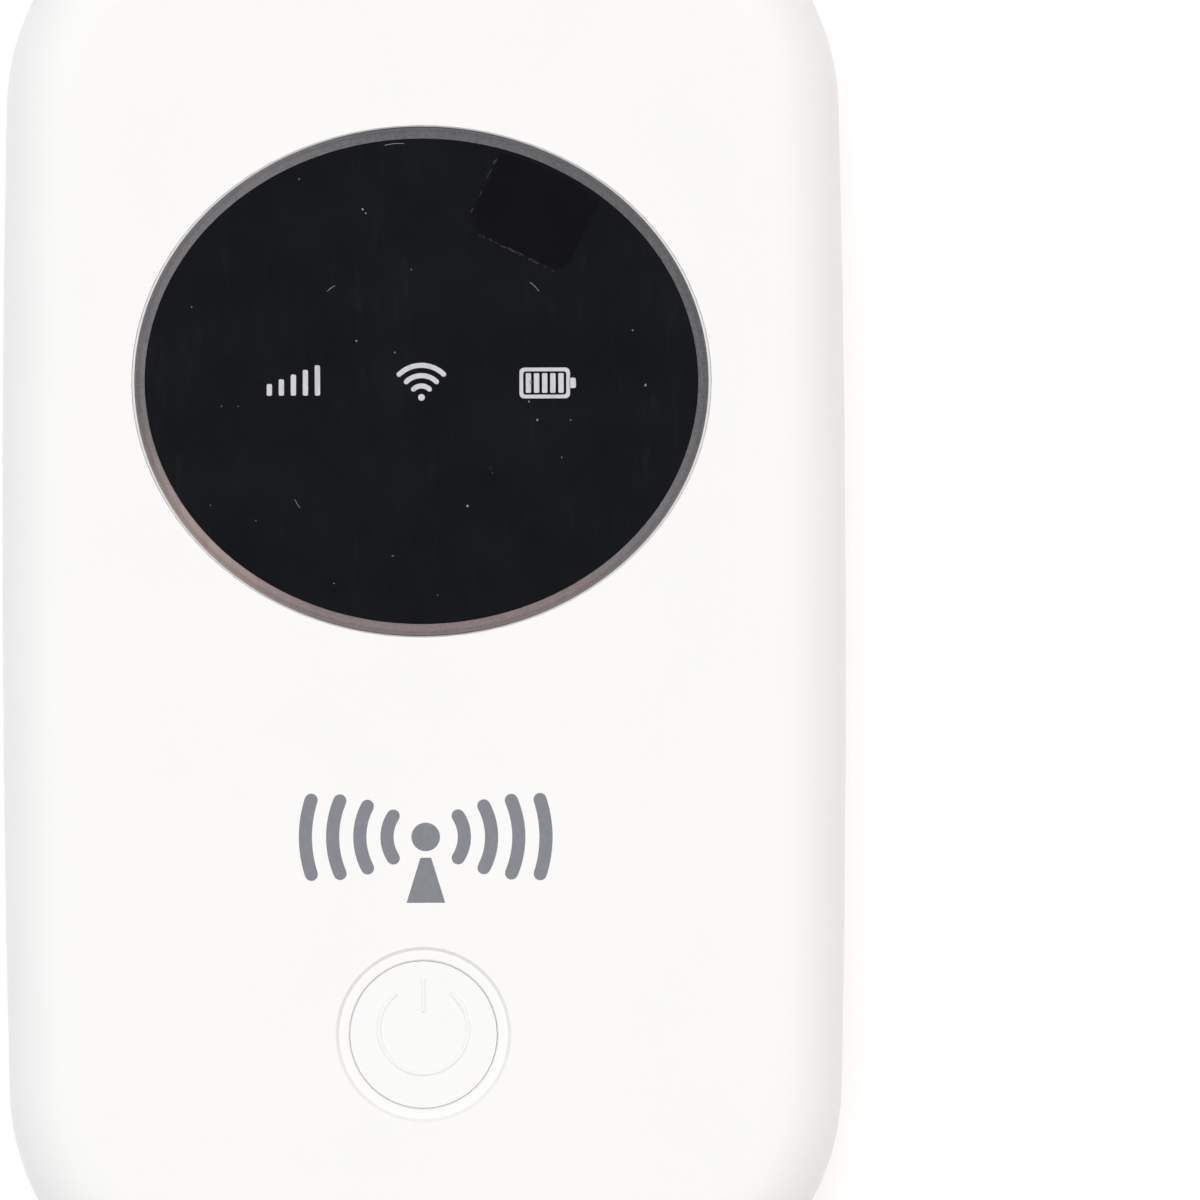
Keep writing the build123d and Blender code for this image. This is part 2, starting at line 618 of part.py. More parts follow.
with BuildPart() as crystal:
    with BuildSketch(Plane.XY.offset(board_front_z)):
        with Locations((19.0, 30.5)):
            RectangleRounded(3.2, 2.5, 0.3)
    extrude(amount=0.7)
write(crystal, "crystal")

# ---------------------------------------------------------------- micro-USB socket
usb_low_z = board_z - usb_height
usb_taper, usb_straight = 1.05, 1.3


def usb_profile(sheet=0.0):
    """The socket's outline, wide on the low side and tapered towards the board, moved inwards by the sheet."""
    half, low, high = usb_width / 2 - sheet, usb_low_z + sheet, board_z - sheet
    narrow, knee = half - usb_taper, low + usb_straight
    with BuildSketch(end_plane(usb_mouth_y)) as profile:
        with BuildLine():
            corners = [(-half, low), (half, low), (half, knee), (narrow, high), (-narrow, high), (-half, knee)]
            Polyline(*corners, close=True)
        make_face()
        fillet(profile.vertices(), 0.3)
    return profile.sketch


with BuildPart() as usb_shell:
    add(usb_profile())
    extrude(dir=(0, 1, 0), amount=usb_depth)
    add(usb_profile(usb_sheet))
    extrude(dir=(0, 1, 0), amount=usb_depth - usb_sheet, mode=Mode.SUBTRACT)
    # Solder tabs beside the board.
    with BuildSketch(Plane.XY.offset(board_z - 0.3)):
        with Locations((0, usb_mouth_y + 3.6)):
            with GridLocations(usb_width, 0, 2, 1):
                Rectangle(1.8, 1.4)
    extrude(amount=0.3)
write(usb_shell, "usb_shell")

tongue_x, tongue_length, tongue_low_z, tongue_height = 3.5, 4.2, usb_z - 0.55, 0.65
tongue_root_x, tongue_root_length, tongue_root_height = 4.0, 1.0, 1.9
pin_pitch, pin_width, pin_length, pin_height, pin_count = 0.65, 0.3, 3.0, 0.08, 5

with BuildPart() as usb_tongue:
    with BuildSketch(Plane.XY.offset(usb_low_z + usb_sheet + CLEAR)):
        with Locations((0, usb_mouth_y + usb_depth - usb_sheet - tongue_root_length / 2 - CLEAR)):
            Rectangle(tongue_root_x, tongue_root_length)
    extrude(amount=tongue_root_height)
    with BuildSketch(Plane.XY.offset(tongue_low_z)):
        with Locations((0, usb_mouth_y + 3.0)):
            Rectangle(tongue_x, tongue_length)
    extrude(amount=tongue_height)
write(usb_tongue, "usb_tongue")

with BuildPart() as usb_contacts:
    with BuildSketch(Plane.XY.offset(tongue_low_z - pin_height)):
        with Locations((0, usb_mouth_y + 2.7)):
            with GridLocations(pin_pitch, 0, pin_count, 1):
                Rectangle(pin_width, pin_length)
    extrude(amount=pin_height)
write(usb_contacts, "usb_contacts")

# ---------------------------------------------------------------- reset switch
reset_body = (4.6, 2.2, 1.8)
reset_bore, reset_bore_depth = (1.5, 1.0), 1.5
reset_stem, reset_stem_length = (1.4, 0.9), 1.6
reset_mouth_y = reset_body_y - reset_body[1] / 2
reset_stem_y = reset_mouth_y + reset_bore_depth - reset_travel - CLEAR - reset_stem_length

with BuildPart() as reset_switch_base:
    with BuildSketch(Plane.XY.offset(board_z - reset_body[2])):
        with Locations((reset_x, reset_body_y)):
            RectangleRounded(reset_body[0], reset_body[1], 0.2)
    extrude(amount=reset_body[2])
    with BuildSketch(end_plane(reset_mouth_y)):
        with Locations((reset_x, reset_z)):
            Rectangle(*reset_bore)
    extrude(amount=-reset_bore_depth, mode=Mode.SUBTRACT)
write(reset_switch_base, "reset_switch_base")

with BuildPart() as reset_plunger:
    with BuildSketch(end_plane(reset_stem_y)):
        with Locations((reset_x, reset_z)):
            Rectangle(*reset_stem)
    extrude(amount=-reset_stem_length)
    fillet(reset_plunger.edges().group_by(Axis.Y)[0], 0.15)
write(reset_plunger, "reset_plunger")

# ---------------------------------------------------------------- SIM socket
sim_low_z = board_z - sim_height
sim_center_y = bay_top_y + 0.6 + sim_length / 2
sim_pitch_x, sim_pitch_y, sim_base_height, sim_spring_height = 2.54, 6.0, 0.35, 0.5

with BuildPart() as sim_base:
    with BuildSketch(Plane.XY.offset(board_z - sim_base_height)):
        with Locations((sim_x, sim_center_y)):
            Rectangle(sim_width - 0.5, sim_length - 0.5)
            with GridLocations(sim_pitch_x, sim_pitch_y, 3, 2):
                Rectangle(1.4, 2.4, mode=Mode.SUBTRACT)
    extrude(amount=sim_base_height)
write(sim_base, "sim_base")

with BuildPart() as sim_contacts:
    with BuildSketch(Plane.XY.offset(board_z - sim_spring_height)):
        with Locations((sim_x, sim_center_y)):
            with GridLocations(sim_pitch_x, sim_pitch_y, 3, 2):
                Rectangle(0.8, 2.2)
    extrude(amount=sim_spring_height)
    fillet(sim_contacts.edges().group_by(Axis.Z)[0].filter_by(Axis.X), 0.2)
write(sim_contacts, "sim_contacts")

with BuildPart() as sim_cover:
    with BuildSketch(Plane.XY.offset(sim_low_z)):
        with Locations((sim_x, sim_center_y)):
            Rectangle(sim_width, sim_length)
    extrude(amount=sim_height)
    fillet(sim_cover.edges().filter_by(Axis.Y).group_by(Axis.Z)[0], sim_sheet)
    # Folded from thin sheet: hollow, and open towards the bay.
    with BuildSketch(Plane.XY.offset(sim_low_z + sim_sheet)):
        with Locations((sim_x, sim_center_y - sim_sheet)):
            Rectangle(sim_width - 2 * sim_sheet, sim_length)
    extrude(amount=OVER, mode=Mode.SUBTRACT)
    # Two long windows and a rounded bite that shows the card's edge.
    with BuildSketch(Plane.XY.offset(sim_low_z - sim_sheet)):
        with Locations((sim_x, sim_center_y + 2.0)):
            with GridLocations(7.0, 0, 2, 1):
                SlotOverall(6.0, 1.6, 90)
        with Locations((sim_x, sim_center_y - sim_length / 2)):
            SlotOverall(7.0, 3.2)
    extrude(amount=3 * sim_sheet, mode=Mode.SUBTRACT)
write(sim_cover, "sim_cover")

# ---------------------------------------------------------------- battery and its connector
battery_end_y = battery_center_y - battery_y / 2
cell_center_y = battery_center_y + battery_cap_length / 2
cell_y = battery_y - battery_cap_length
pad_width, pad_thickness, pad_recess, pad_margin = 1.6, 0.1, 0.25, 0.9
label_margin, label_thickness = 2.0, 0.1

with BuildPart() as battery_pack:
    with BuildSketch(Plane.XY.offset(battery_rear_z)):
        with Locations((0, cell_center_y)):
            RectangleRounded(battery_x, cell_y, 1.4)
    extrude(amount=battery_z)
    fillet(battery_pack.edges().group_by(Axis.Z)[0] + battery_pack.edges().group_by(Axis.Z)[-1], 0.5)
write(battery_pack, "battery_pack")

with BuildPart() as battery_end_cap:
    with BuildSketch(Plane.XY.offset(battery_rear_z)):
        with Locations((0, battery_end_y + battery_cap_length / 2 - CLEAR / 2)):
            Rectangle(battery_x, battery_cap_length - CLEAR)
    extrude(amount=battery_z)
    fillet(battery_end_cap.edges().filter_by(Axis.X).group_by(Axis.Y)[0], 0.4)
    fillet(battery_end_cap.edges().filter_by(Axis.Z).group_by(Axis.Y)[0], 0.8)
    # Recesses for the pads, open towards the board so that the springs can pass.
    with BuildSketch(Plane.XY.offset(battery_rear_z + pad_margin)):
        with Locations((0, battery_end_y)):
            with GridLocations(contact_pitch, 0, contact_count, 1):
                Rectangle(pad_width + 0.1, 2 * pad_recess)
    extrude(amount=2 * OVER, mode=Mode.SUBTRACT)
write(battery_end_cap, "battery_end_cap")

with BuildPart() as battery_pads:
    with BuildSketch(Plane.XY.offset(battery_rear_z + pad_margin)):
        with Locations((0, battery_end_y + pad_recess - pad_thickness / 2)):
            with GridLocations(contact_pitch, 0, contact_count, 1):
                Rectangle(pad_width, pad_thickness)
    extrude(amount=battery_z - 2 * pad_margin)
write(battery_pads, "battery_pads")

with BuildPart() as battery_label:
    with BuildSketch(Plane.XY.offset(battery_rear_z - label_thickness)):
        with Locations((0, cell_center_y)):
            RectangleRounded(battery_x - 2 * label_margin, cell_y - 2 * label_margin, 1.0)
    extrude(amount=label_thickness)
write(battery_label, "battery_label")

connector_y = bay_bottom_y - connector_y_size / 2 - 0.3
spring_width, spring_sheet = 0.8, 0.15
spring_back_y = connector_y + 0.65
spring_tip_y = battery_end_y + pad_recess - pad_thickness - CLEAR
spring_low_z, spring_tip_z, spring_high_z = 5.0, 6.4, 7.9

with BuildPart() as battery_connector:
    with BuildSketch(Plane.XY.offset(connector_low_z)):
        with Locations((0, connector_y)):
            Rectangle(connector_x, connector_y_size)
    extrude(amount=board_z - connector_low_z)
    chamfer(battery_connector.edges().group_by(Axis.Z)[0].filter_by(Axis.X), 0.3)
    # One slot for each spring, open to the front and to the back.
    with BuildSketch(Plane.XY.offset(connector_low_z - CLEAR)):
        with Locations((0, connector_y + 1.0)):
            with GridLocations(contact_pitch, 0, contact_count, 1):
                Rectangle(spring_width + 0.5, 1.2)
    extrude(amount=spring_high_z + 0.3 - connector_low_z, mode=Mode.SUBTRACT)
write(battery_connector, "battery_connector")

# Bowed contact springs that press on the battery's pads.
with BuildPart() as battery_springs:
    for column in range(contact_count):
        x = (column - (contact_count - 1) / 2) * contact_pitch - spring_width / 2
        with BuildSketch(Plane(origin=(x, 0, 0), x_dir=(0, 1, 0), z_dir=(1, 0, 0))):
            with BuildLine():
                ends = (spring_back_y, spring_low_z), (spring_back_y, spring_high_z)
                bow = ThreePointArc(ends[0], (spring_tip_y, spring_tip_z), ends[1])
                offset(bow, amount=spring_sheet, side=Side.LEFT)
            make_face()
        extrude(amount=spring_width)
write(battery_springs, "battery_springs")

with BuildPart() as rating_label:
    with BuildSketch(Plane.XY.offset(bay_floor_z - label_thickness)):
        with Locations((-10.0, -6.0)):
            RectangleRounded(22.0, 34.0, 0.8)
    extrude(amount=label_thickness)
write(rating_label, "rating_label")


# ---------------------------------------------------------------- antennas on the chassis deck
def deck_antenna(low_y, high_y, slots):
    """A flexible printed antenna stuck to the chassis's deck, cut by slots given as (x, y, length, turn)."""
    with BuildPart() as flex:
        with BuildSketch(Plane.XY.offset(chassis_rear_z - antenna_thickness)):
            add(outline(antenna_inset))
            with Locations((0, (low_y + high_y) / 2)):
                Rectangle(width, high_y - low_y, mode=Mode.INTERSECT)
            with Locations(*screw_sites):
                Circle(screw_head_radius + 0.9, mode=Mode.SUBTRACT)
            for x, y, length, turn in slots:
                with Locations((x, y)):
                    SlotOverall(length, 0.8, turn, mode=Mode.SUBTRACT)
        extrude(amount=antenna_thickness)
    return flex


main_slots = [(-6.0, -38.0, 18.0, 0), (-14.0, -35.0, 9.0, 0), (8.0, -36.0, 6.0, 90), (16.0, -40.0, 6.0, 0)]
second_slots = [(0.0, 38.0, 26.0, 0), (-10.0, 35.5, 8.0, 0), (12.0, 41.0, 9.0, 0)]
write(deck_antenna(-43.5, -32.5, main_slots), "main_antenna")
write(deck_antenna(33.0, 43.5, second_slots), "second_antenna")

with BuildPart() as antenna_clips:
    with BuildSketch(Plane.XY.offset(board_z - clip_reach)):
        with Locations(*clip_sites):
            Rectangle(clip_width, clip_length)
    extrude(amount=clip_sheet)
    with BuildSketch(Plane.XY.offset(board_z - clip_reach)):
        with Locations(*[(x, y - (clip_length - clip_sheet) / 2) for x, y in clip_sites]):
            Rectangle(clip_width, clip_sheet)
    extrude(amount=clip_reach)
write(antenna_clips, "antenna_clips")
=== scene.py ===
import math
import random

import bmesh
import bpy
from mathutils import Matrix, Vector


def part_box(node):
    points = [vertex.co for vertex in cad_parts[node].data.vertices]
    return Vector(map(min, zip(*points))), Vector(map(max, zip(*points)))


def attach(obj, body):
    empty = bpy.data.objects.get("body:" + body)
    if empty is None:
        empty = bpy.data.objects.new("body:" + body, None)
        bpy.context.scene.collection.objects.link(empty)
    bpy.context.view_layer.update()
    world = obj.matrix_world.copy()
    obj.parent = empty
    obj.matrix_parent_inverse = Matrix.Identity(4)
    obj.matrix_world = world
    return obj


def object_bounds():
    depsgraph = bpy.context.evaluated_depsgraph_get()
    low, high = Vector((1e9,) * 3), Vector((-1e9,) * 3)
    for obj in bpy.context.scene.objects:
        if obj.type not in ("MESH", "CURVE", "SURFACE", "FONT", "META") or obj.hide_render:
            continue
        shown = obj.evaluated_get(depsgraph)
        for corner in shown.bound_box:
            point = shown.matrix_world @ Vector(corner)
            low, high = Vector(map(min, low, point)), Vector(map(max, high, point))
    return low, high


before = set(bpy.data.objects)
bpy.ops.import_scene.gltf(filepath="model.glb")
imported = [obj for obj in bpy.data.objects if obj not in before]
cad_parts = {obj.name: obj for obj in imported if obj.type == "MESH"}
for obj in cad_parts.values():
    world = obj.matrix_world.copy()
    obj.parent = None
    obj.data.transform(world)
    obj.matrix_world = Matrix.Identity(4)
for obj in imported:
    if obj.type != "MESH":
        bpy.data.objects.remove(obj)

cad_low, cad_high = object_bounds()
MM = 0.001

# ---------------------------------------------------------------- places taken from the frame
_, shell_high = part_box("front_shell")
lens_low, lens_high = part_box("display_lens")
band_low, band_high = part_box("lens_border")
_, film_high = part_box("screen_film")
button_low, button_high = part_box("power_button")

FACE_Z = shell_high.z
WINDOW = (lens_low + lens_high) / 2
LENS_X, LENS_Y = (lens_high.x - lens_low.x) / 2, (lens_high.y - lens_low.y) / 2
BAND_X, BAND_Y = (band_high.x - band_low.x) / 2, (band_high.y - band_low.y) / 2
SATIN_X, SATIN_Y = 20.07 * MM, 17.80 * MM  # where the band's satin gives way to a painted highlight on its edge
BUTTON = (button_low + button_high) / 2
BUTTON_RADIUS = 5.13 * MM  # of the cap, which is narrower than its flange

# ---------------------------------------------------------------- camera
# Down on the window face from far off, leaning a degree to the right. The hotspot stands left of the middle.
PICTURE_SPAN = 83.75 * MM
CAMERA_LENS = 800.0
SENSOR = 36.0
CAMERA_X, CAMERA_Y = 12.42 * MM, -0.2 * MM
CAMERA_LEAN, CAMERA_ROLL = math.radians(1.0), math.radians(-0.18)
CLIP_NEAR, CLIP_FAR = 0.05, 10.0

camera = bpy.data.objects.new("camera", bpy.data.cameras.new("camera"))
bpy.context.scene.collection.objects.link(camera)
camera.data.lens = CAMERA_LENS
camera.data.sensor_width = SENSOR
camera.rotation_euler = (0.0, CAMERA_LEAN, CAMERA_ROLL)
backwards = camera.rotation_euler.to_matrix() @ Vector((0.0, 0.0, 1.0))
camera.location = Vector((CAMERA_X, CAMERA_Y, FACE_Z)) + backwards * (PICTURE_SPAN * CAMERA_LENS / SENSOR)
camera.data.clip_start, camera.data.clip_end = CLIP_NEAR, CLIP_FAR
bpy.context.scene.camera = camera
bpy.context.scene.view_settings.view_transform = "Standard"


# ---------------------------------------------------------------- procedural materials
def add_node(tree, kind, inputs=None, **settings):
    """A new shader node. inputs gives a socket to link or a constant for each input it names."""
    made = tree.nodes.new("ShaderNode" + kind)
    for key, value in settings.items():
        setattr(made, key, value)
    for key, value in (inputs or {}).items():
        if isinstance(value, bpy.types.NodeSocket):
            tree.links.new(value, made.inputs[key])
        else:
            made.inputs[key].default_value = value
    return made


class Look:
    """A procedural material: one Principled shader fed by textures in the object's own coordinates."""

    def __init__(self, name, **constants):
        self.material = bpy.data.materials.new(name)
        self.material.use_nodes = True
        self.tree = self.material.node_tree
        self.shader = self.tree.nodes["Principled BSDF"]
        for key, value in constants.items():
            self.shader.inputs[key.replace("_", " ")].default_value = value
        self.place = self.node("TexCoord").outputs["Object"]

    def node(self, kind, inputs=None, **settings):
        return add_node(self.tree, kind, inputs, **settings)

    def feed(self, socket, source):
        self.tree.links.new(source, self.shader.inputs[socket])

    def moved(self, size, stretch=(1.0, 1.0, 1.0), origin=(0.0, 0.0, 0.0)):
        """Coordinates in units of size metres, measured from origin and optionally stretched."""
        shifted = self.node("VectorMath", {0: self.place, 1: tuple(origin)}, operation="SUBTRACT")
        scale = tuple(1.0 / (size * s) for s in stretch)
        inputs = {"Vector": shifted.outputs[0], "Scale": scale}
        return self.node("Mapping", inputs).outputs[0]

    def grain(self, size, detail=2.0, stretch=(1.0, 1.0, 1.0), roughness=0.5):
        """Noise with features of about size metres."""
        inputs = {"Vector": self.moved(size, stretch), "Scale": 1.0, "Detail": detail, "Roughness": roughness}
        return self.node("TexNoise", inputs).outputs[0]

    def cells(self, size, stretch=(1.0, 1.0, 1.0)):
        """Distance to the middle of the nearest cell, for cells of about size metres."""
        inputs = {"Vector": self.moved(size, stretch), "Scale": 1.0}
        return self.node("TexVoronoi", inputs, feature="F1").outputs["Distance"]

    def span(self, source, low, high, start=0.3, end=0.7):
        """source mapped from start..end to low..high, and kept within low..high."""
        inputs = {"Value": source, "From Min": start, "From Max": end, "To Min": low, "To Max": high}
        return self.node("MapRange", inputs).outputs[0]

    def blend(self, factor, first, second):
        """A colour between first and second, each a colour or a socket."""
        first, second = (c if isinstance(c, bpy.types.NodeSocket) else (*c, 1.0) for c in (first, second))
        return self.node("Mix", {0: factor, 6: first, 7: second}, data_type="RGBA").outputs[2]

    def math(self, operation, first, second):
        return self.node("Math", {0: first, 1: second}, operation=operation).outputs[0]

    def colour(self, first, second, source):
        self.feed("Base Color", self.blend(self.span(source, 0.0, 1.0), first, second))

    def gloss(self, low, high, source):
        self.feed("Roughness", self.span(source, low, high))

    def relief(self, *layers):
        """Bump layers, each a height from 0 to 1 and its depth in metres."""
        normal = None
        for height, depth in layers:
            inputs = {"Height": height, "Distance": depth, "Strength": 1.0}
            if normal:
                inputs["Normal"] = normal
            normal = self.node("Bump", inputs).outputs[0]
        self.feed("Normal", normal)


def moulded(name, first, second, rough, peel_depth=0.0012 * MM, texture=None, **constants):
    """Moulded plastic: faint cloudiness, an orange peel, and optionally an etched texture of (size, depth)."""
    look = Look(name, **constants)
    look.colour(first, second, look.grain(14 * MM, 3.0))
    look.gloss(*rough, look.grain(0.35 * MM, 3.0))
    layers = [(look.grain(1.2 * MM, 2.0), peel_depth)]
    if texture:
        layers.append((look.grain(texture[0], 2.0), texture[1]))
    look.relief(*layers)
    return look


def sheet_metal(name, first, second, rough=(0.24, 0.38), stretch=(1.0, 6.0, 1.0)):
    """Rolled metal: fine drawn lines, along Y unless stretch says otherwise, and cloudy tarnish."""
    look = Look(name, Metallic=1.0)
    lines = look.grain(0.12 * MM, 4.0, stretch)
    clouds = look.grain(3.0 * MM, 3.0)
    depth = 0.0008 * MM
    look.colour(first, second, clouds)
    look.gloss(*rough, look.node("Math", {0: lines, 1: 0.6, 2: 0.5}, operation="MULTIPLY_ADD").outputs[0])
    look.relief((lines, depth), (clouds, depth))
    return look


def shell_plastic():
    """White plastic with an even satin skin."""
    tones, skin = ((0.812, 0.812, 0.802), (0.824, 0.822, 0.812)), (0.14 * MM, 0.0004 * MM)
    return moulded("shell plastic", *tones, (0.40, 0.50), texture=skin, IOR=1.32)


def door_plastic():
    """The same white plastic with a finely etched back."""
    tones, skin = ((0.800, 0.800, 0.792), (0.814, 0.813, 0.805)), (0.22 * MM, 0.004 * MM)
    return moulded("door plastic", *tones, (0.46, 0.58), texture=skin, IOR=1.32)


def button_plastic():
    """White plastic, smoother and a little glossier than the shell."""
    tones = (0.814, 0.815, 0.808), (0.824, 0.824, 0.816)
    return moulded("button plastic", *tones, (0.32, 0.42), peel_depth=0.0008 * MM, IOR=1.36)


def lens_black():
    """Black-backed acrylic: nearly black, faintly blue, with a shallow wave in its gloss."""
    look = Look("lens black", IOR=1.49)
    look.colour((0.0028, 0.0032, 0.0048), (0.0040, 0.0044, 0.0060), look.grain(9 * MM, 3.0))
    look.gloss(0.05, 0.09, look.grain(2.0 * MM, 3.0))
    look.relief((look.grain(6.0 * MM, 1.0), 0.0006 * MM))
    return look


def band_metal():
    """Satin band: fine grain, painted reflections round the oval, a darker outer half, a painted edge highlight.
    """
    look = Look("band metal")
    turn = look.moved(1.0, origin=WINDOW)
    to_circle = {0: turn, 1: (1 / SATIN_X, 1 / SATIN_Y, 0.0)}
    circle = look.node("VectorMath", to_circle, operation="MULTIPLY").outputs[0]
    reach = look.node("VectorMath", {0: circle}, operation="LENGTH").outputs["Value"]
    # A pale, dull ring over the band's chamfered edge: a painted highlight.
    edge_highlight = look.span(reach, 0.0, 1.0, 0.9985, 1.0005)
    around = look.node("TexGradient", {"Vector": turn}, gradient_type="RADIAL").outputs["Fac"]
    # The colours round the oval are painted reflections over the metal's own grey, with a painted glint low on the
    # left.
    ramp = look.node("ValToRGB", {"Fac": around})
    cool, grey = (0.14, 0.14, 0.15), (0.20, 0.19, 0.20)
    rosy, bright_reflection = (0.28, 0.22, 0.22), (0.45, 0.35, 0.33)
    reflection_stops = (  # degrees round the oval from +X, and the painted reflection there
        (-180, grey), (-145, bright_reflection), (-110, rosy), (-60, rosy), (-30, grey),
        (0, cool), (90, cool), (135, grey), (180, grey),
    )
    ramp.color_ramp.interpolation = "EASE"
    while len(ramp.color_ramp.elements) < len(reflection_stops):
        ramp.color_ramp.elements.new(0.5)
    for element, (angle, tint) in zip(ramp.color_ramp.elements, reflection_stops):
        element.position = angle / 360 + 0.5
        element.color = (*tint, 1.0)
    fine = look.grain(0.07 * MM, 3.0, roughness=0.7)
    flecks = look.span(look.grain(0.16 * MM, 2.0), 0.0, 0.10, 0.35, 0.75)
    outer_half = look.span(reach, 0.0, 0.30, 0.975, 0.985)
    satin_and_reflection = look.blend(flecks, ramp.outputs["Color"], (0.85, 0.85, 0.86))
    satin_and_reflection = look.blend(outer_half, satin_and_reflection, (0.100, 0.085, 0.080))
    look.feed("Base Color", look.blend(edge_highlight, satin_and_reflection, (0.80, 0.80, 0.79)))
    look.feed("Metallic", look.math("SUBTRACT", 1.0, edge_highlight))
    look.gloss(0.30, 0.46, fine)
    look.relief((fine, 0.0035 * MM))
    return look


def film_clear():
    """Thin protective film: nearly clear, with faint scuffs along Y."""
    look = Look("film clear", IOR=1.45)
    look.colour((0.020, 0.021, 0.024), (0.040, 0.042, 0.046), look.grain(5 * MM, 4.0))
    look.gloss(0.10, 0.22, look.grain(1.5 * MM, 3.0))
    scuffs = look.grain(0.6 * MM, 4.0, (1.0, 7.0, 1.0), 0.6)
    look.feed("Alpha", look.span(scuffs, 0.05, 0.12, 0.55, 0.8))
    look.relief((look.grain(4.0 * MM, 1.0), 0.0010 * MM))
    return look


def film_tab():
    """The dark adhesive patch of the film's pull tab."""
    look = Look("film tab", IOR=1.45)
    look.colour((0.0046, 0.0050, 0.0072), (0.0050, 0.0054, 0.0077), look.grain(4 * MM, 2.0))
    look.gloss(0.16, 0.20, look.grain(3 * MM, 2.0))
    look.feed("Alpha", look.span(look.grain(5 * MM, 1.0), 0.28, 0.31))
    look.relief((look.grain(5 * MM, 1.0), 0.0006 * MM))
    return look


def print_ink(name, first, second, rough=(0.45, 0.6)):
    """Screen-printed ink: a nearly even colour and a dry, finely grained surface."""
    look = Look(name)
    look.colour(first, second, look.grain(0.5 * MM, 4.0))
    look.gloss(*rough, look.grain(0.2 * MM, 2.0))
    look.relief((look.grain(0.09 * MM, 2.0), 0.0015 * MM))
    return look


def board_mask():
    """Green solder mask: paler over the copper's traces, which run in two directions, with gold vias."""
    look = Look("board mask", Coat_Weight=0.25)
    rows = look.cells(1.1 * MM, (1.0, 9.0, 1.0))
    columns = look.cells(1.3 * MM, (9.0, 1.0, 1.0))
    rows, columns = look.span(rows, 0.0, 1.0, 0.28, 0.34), look.span(columns, 0.0, 1.0, 0.30, 0.36)
    traces = look.math("MINIMUM", rows, columns)
    vias = look.span(look.cells(2.2 * MM), 1.0, 0.0, 0.07, 0.09)
    mask = look.blend(traces, (0.010, 0.085, 0.030), (0.018, 0.150, 0.050))
    look.feed("Base Color", look.blend(vias, mask, (0.62, 0.50, 0.20)))
    look.gloss(0.28, 0.40, look.grain(0.4 * MM, 3.0))
    look.relief((traces, 0.015 * MM), (vias, 0.01 * MM))
    return look


def flex_film():
    """Flexible antenna: black cover film over long copper traces that show as low amber ridges."""
    look = Look("antenna flex")
    spacing = {"Brick Width": 26.0, "Row Height": 1.7}
    width = {"Mortar Size": 0.22, "Mortar Smooth": 0.1}
    inputs = {"Vector": look.moved(1.0 * MM), "Scale": 1.0, **width, **spacing}
    runs = look.node("TexBrick", inputs, offset=0.0).outputs["Fac"]
    cover = look.blend(look.span(look.grain(4 * MM, 3.0), 0.0, 1.0), (0.020, 0.018, 0.016), (0.034, 0.028, 0.022))
    look.feed("Base Color", look.blend(runs, cover, (0.21, 0.105, 0.035)))
    look.gloss(0.30, 0.45, look.grain(0.5 * MM, 3.0))
    look.relief((runs, 0.02 * MM))
    return look


def battery_sleeve():
    """Heat-shrunk sleeve over the cell: slate blue with long faint wrinkles."""
    look = Look("battery sleeve", Coat_Weight=0.3, Coat_Roughness=0.2)
    look.colour((0.045, 0.060, 0.095), (0.060, 0.078, 0.118), look.grain(9 * MM, 3.0))
    look.gloss(0.26, 0.36, look.grain(0.8 * MM, 3.0))
    wrinkles, skin = look.grain(2.5 * MM, 2.0, (1.0, 6.0, 1.0)), look.grain(0.3 * MM, 2.0)
    look.relief((wrinkles, 0.02 * MM), (skin, 0.001 * MM))
    return look


def label_paper(name, tone, band):
    """Coated label: pale, with plain bands across it and a faint fibre."""
    look = Look(name)
    inputs = {"Vector": look.moved(9.0 * MM), "Scale": 0.35, "Distortion": 0.0}
    stripes = look.node("TexWave", inputs, wave_type="BANDS", bands_direction="Y").outputs["Fac"]
    fibre = look.span(look.grain(0.6 * MM, 4.0, (1.0, 4.0, 1.0)), 0.0, 1.0)
    fibre = look.blend(fibre, tone, [c * 0.94 for c in tone])
    look.feed("Base Color", look.blend(look.span(stripes, 0.0, 1.0, 0.92, 0.94), fibre, band))
    look.gloss(0.45, 0.6, look.grain(0.5 * MM, 3.0))
    look.relief((look.grain(0.25 * MM, 3.0), 0.002 * MM))
    return look


def foam():
    """Black foam tape with open cells."""
    look = Look("adhesive foam")
    look.colour((0.012, 0.012, 0.013), (0.030, 0.030, 0.031), look.cells(0.16 * MM))
    look.gloss(0.8, 0.95, look.grain(0.3 * MM))
    look.relief((look.cells(0.16 * MM), 0.03 * MM))
    return look


def rubber(name, first, second):
    """Soft translucent resin or silicone, which scatters a little light."""
    look = Look(name, Subsurface_Weight=0.1, Subsurface_Scale=0.4 * MM)
    look.colour(first, second, look.grain(0.8 * MM, 3.0))
    look.gloss(0.5, 0.65, look.grain(0.3 * MM, 3.0))
    look.relief((look.grain(0.2 * MM, 2.0), 0.004 * MM))
    return look


def chip_resin():
    """Black epoxy packages with a fine grain of filler."""
    look = Look("chip resin")
    look.colour((0.014, 0.014, 0.015), (0.030, 0.030, 0.031), look.grain(0.08 * MM, 3.0))
    look.gloss(0.42, 0.6, look.grain(0.5 * MM, 3.0))
    look.relief((look.grain(0.06 * MM, 2.0), 0.003 * MM))
    return look


def ceramic():
    """Chip capacitors: mottled tan bodies with tinned patches."""
    look = Look("chip ceramic")
    body = look.blend(look.span(look.grain(0.15 * MM, 2.0), 0.0, 1.0), (0.34, 0.22, 0.12), (0.42, 0.29, 0.17))
    tinned = look.span(look.cells(1.5 * MM), 0.0, 1.0, 0.25, 0.35)
    look.feed("Base Color", look.blend(tinned, body, (0.62, 0.61, 0.58)))
    look.gloss(0.3, 0.45, look.grain(0.2 * MM))
    look.relief((look.grain(0.12 * MM, 2.0), 0.004 * MM))
    return look


